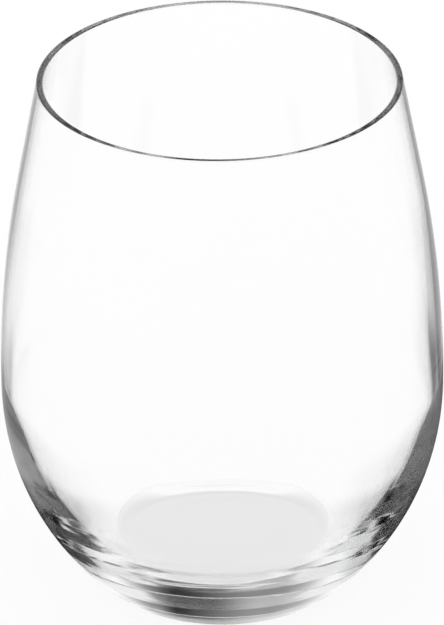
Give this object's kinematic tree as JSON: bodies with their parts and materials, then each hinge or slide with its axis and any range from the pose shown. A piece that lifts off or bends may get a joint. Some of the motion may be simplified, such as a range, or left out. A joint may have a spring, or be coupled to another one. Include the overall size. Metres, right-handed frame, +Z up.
{
  "type": "stemless wine glass",
  "caption": "Stemless wine glass: a rounded clear bowl that narrows to a thin rim with a melted lip, on a heavy base that is dished underneath and stands on a flat ring.",
  "frame": {"origin": "on the table, under the middle of the base", "axes": "+Z up along the axis of the glass, from the base to the rim; X and Y are alike"},
  "size_m": [0.09, 0.09, 0.111],
  "materials": {
    "clear_glass": "fire-polished, clear and colourless"
  },
  "bodies": {
    "root": {"glass_body": "clear_glass"}
  },
  "joints": []
}
